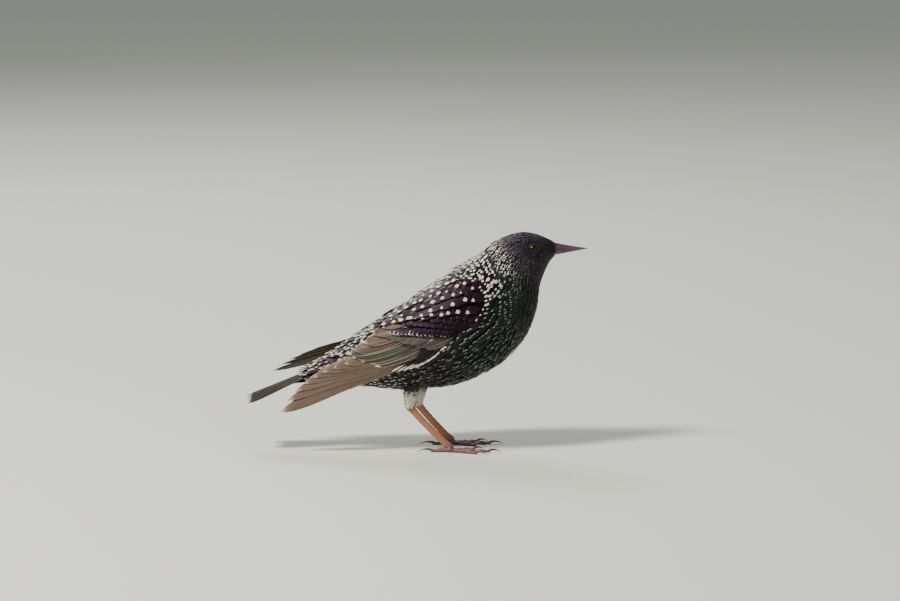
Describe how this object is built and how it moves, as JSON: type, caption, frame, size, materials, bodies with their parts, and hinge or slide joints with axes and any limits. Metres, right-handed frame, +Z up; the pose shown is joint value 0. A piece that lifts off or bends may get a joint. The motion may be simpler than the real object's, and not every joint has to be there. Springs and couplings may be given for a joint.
{
  "type": "starling",
  "caption": "Life-size standing starling in winter plumage with folded drooping wings, straight pointed bill and short tail, a still museum model.",
  "frame": {"origin": "on the floor, below the middle of the bird's bounding box", "axes": "+X forward to the bill, +Y to the bird's left, +Z up"},
  "size_m": [0.1908, 0.0576, 0.1215],
  "materials": {
    "plumage": "small glossy black feathers with purple and green sheen and pale buff tips",
    "wing_feathers": "silky grey-brown wing feathers with buff edges",
    "tail_feathers": "dark grey-brown tail feathers with pale edges",
    "thigh_feathers": "short pale buff feathers, darker toward the body",
    "bill_horn": "smooth plum-brown horn, grey at the base below",
    "leg_skin": "scaled orange-brown skin",
    "claw_horn": "smooth dark horn",
    "eye": "wet dark brown eye"
  },
  "bodies": {
    "root": {"torso": "plumage", "neck": "plumage", "head": "plumage", "tail": "tail_feathers", "bill_upper": "bill_horn", "bill_lower": "bill_horn", "eye_right": "eye", "eye_left": "eye", "wing_right": "wing_feathers", "wing_left": "wing_feathers", "thigh_right": "thigh_feathers", "thigh_left": "thigh_feathers", "tarsus_right": "leg_skin", "tarsus_left": "leg_skin", "foot_right": "leg_skin", "foot_left": "leg_skin", "claw_inner_right": "claw_horn", "claw_middle_right": "claw_horn", "claw_outer_right": "claw_horn", "claw_hallux_right": "claw_horn", "claw_inner_left": "claw_horn", "claw_middle_left": "claw_horn", "claw_outer_left": "claw_horn", "claw_hallux_left": "claw_horn"}
  },
  "joints": []
}
